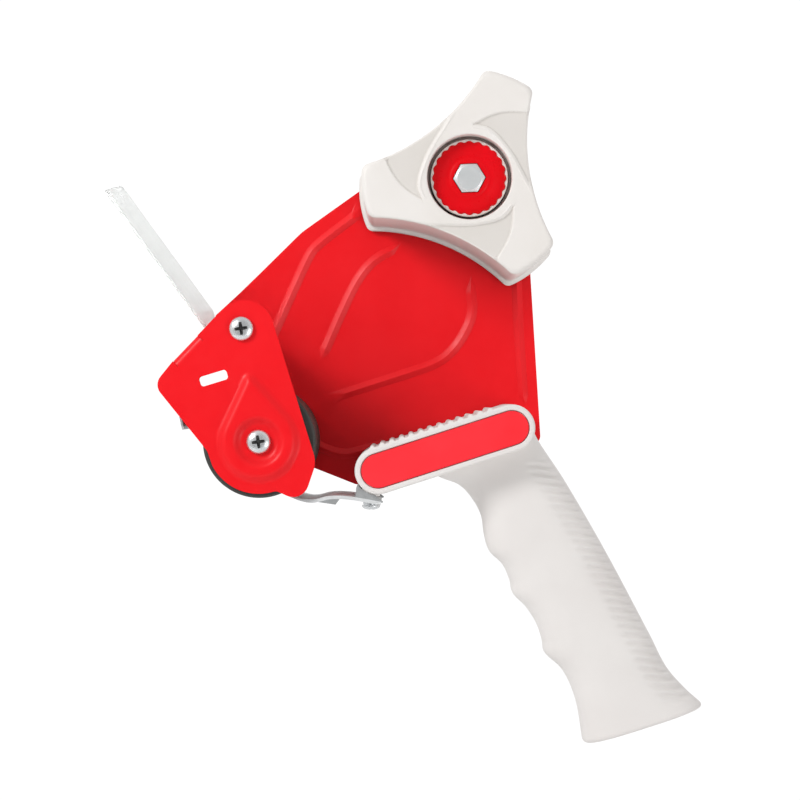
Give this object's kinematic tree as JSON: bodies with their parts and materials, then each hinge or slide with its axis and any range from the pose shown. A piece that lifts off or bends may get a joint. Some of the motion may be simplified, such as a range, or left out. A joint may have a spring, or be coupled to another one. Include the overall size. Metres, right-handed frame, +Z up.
{
  "type": "tape gun dispenser",
  "caption": "Side-loading hand-held packing tape dispenser with a star hub, adjustable brake knob, tape roller, toothed cutting blade and pistol grip.",
  "frame": {"origin": "where the hub's axis meets the near face of the frame's main plate", "axes": "-Y along the hub's axis to the open side where the roll goes on, +Z up as the gun stands with its grip pointing down, +X towards the grip and away from the blade"},
  "size_m": [0.2104, 0.0648, 0.2392],
  "materials": {
    "red_paint": "glossy red enamel on pressed steel sheet",
    "hub_plastic": "satin warm-white moulded plastic",
    "grip_plastic": "satin off-white moulded plastic",
    "red_plastic": "glossy deep-red moulded plastic",
    "inset_red": "satin red insert",
    "zinc_steel": "bright zinc-plated steel",
    "blade_steel": "stamped spring steel, teeth bright",
    "black_rubber": "matte black rubber sleeve",
    "black_plastic": "black moulded plastic",
    "clear_film": "frosted translucent plastic film",
    "fibre": "brown vulcanised fibre",
    "nylon": "natural nylon"
  },
  "bodies": {
    "frame_and_handle": {"frame": "red_paint", "spindle_post": "zinc_steel", "spindle_washer": "zinc_steel", "spindle_nut": "zinc_steel", "friction_washer": "fibre", "tie_rod": "zinc_steel", "tie_rod_screw_near": "zinc_steel", "tie_rod_screw_far": "zinc_steel", "roller_shaft": "zinc_steel", "roller_shaft_screw_near": "zinc_steel", "roller_shaft_screw_far": "zinc_steel", "roller_spacer_near": "nylon", "roller_spacer_far": "nylon", "blade": "blade_steel", "blade_rivet_near": "zinc_steel", "blade_rivet_far": "zinc_steel", "flap_clamp_strip": "zinc_steel", "flap_clamp_rivet_near": "zinc_steel", "flap_clamp_rivet_far": "zinc_steel", "flap_root": "clear_film", "tape_guide": "zinc_steel", "guide_screw_near": "zinc_steel", "guide_screw_far": "zinc_steel", "handle_near_shell": "grip_plastic", "handle_far_shell": "grip_plastic", "handle_inset": "inset_red", "handle_screw_upper": "zinc_steel", "handle_screw_middle": "zinc_steel", "handle_screw_lower": "zinc_steel", "frame_screw_left": "zinc_steel", "frame_screw_right": "zinc_steel"},
    "hub": {"hub": "hub_plastic", "hub_bushing": "nylon"},
    "roller": {"roller_core": "black_plastic", "roller_rubber": "black_rubber"},
    "brake_washer": {"brake_washer": "zinc_steel", "brake_spring": "zinc_steel"},
    "knob": {"brake_knob": "red_plastic", "knob_bolt": "zinc_steel"},
    "flap": {"flap": "clear_film"}
  },
  "joints": [
    {"name": "hub_spin", "type": "hinge", "parent": "frame_and_handle", "child": "hub", "pos_m": [0, -0.026, 0], "axis": [0, 1, 0], "continuous": true},
    {"name": "roller_spin", "type": "hinge", "parent": "frame_and_handle", "child": "roller", "pos_m": [-0.0734, -0.02675, -0.0923], "axis": [0, 1, 0], "continuous": true},
    {"name": "brake_slide", "type": "slide", "parent": "frame_and_handle", "child": "brake_washer", "axis": [0, 1, 0], "range_m": [-0.002, 0.0005], "deforming": ["brake_spring"]},
    {"name": "knob_turn", "type": "hinge", "parent": "brake_washer", "child": "knob", "pos_m": [0, -0.0425, 0], "axis": [0, 1, 0], "range_deg": [-722, 182]},
    {"name": "flap_flex", "type": "hinge", "parent": "frame_and_handle", "child": "flap", "pos_m": [-0.09172, -0.02675, -0.05331], "axis": [0, 1, 0], "range_deg": [-60, 45], "stiffness_Nm_per_rad": 0.05}
  ],
  "couplings": [
    {"joint": "knob_turn", "follows": "brake_slide", "rad_per_m": 6283.2}
  ]
}
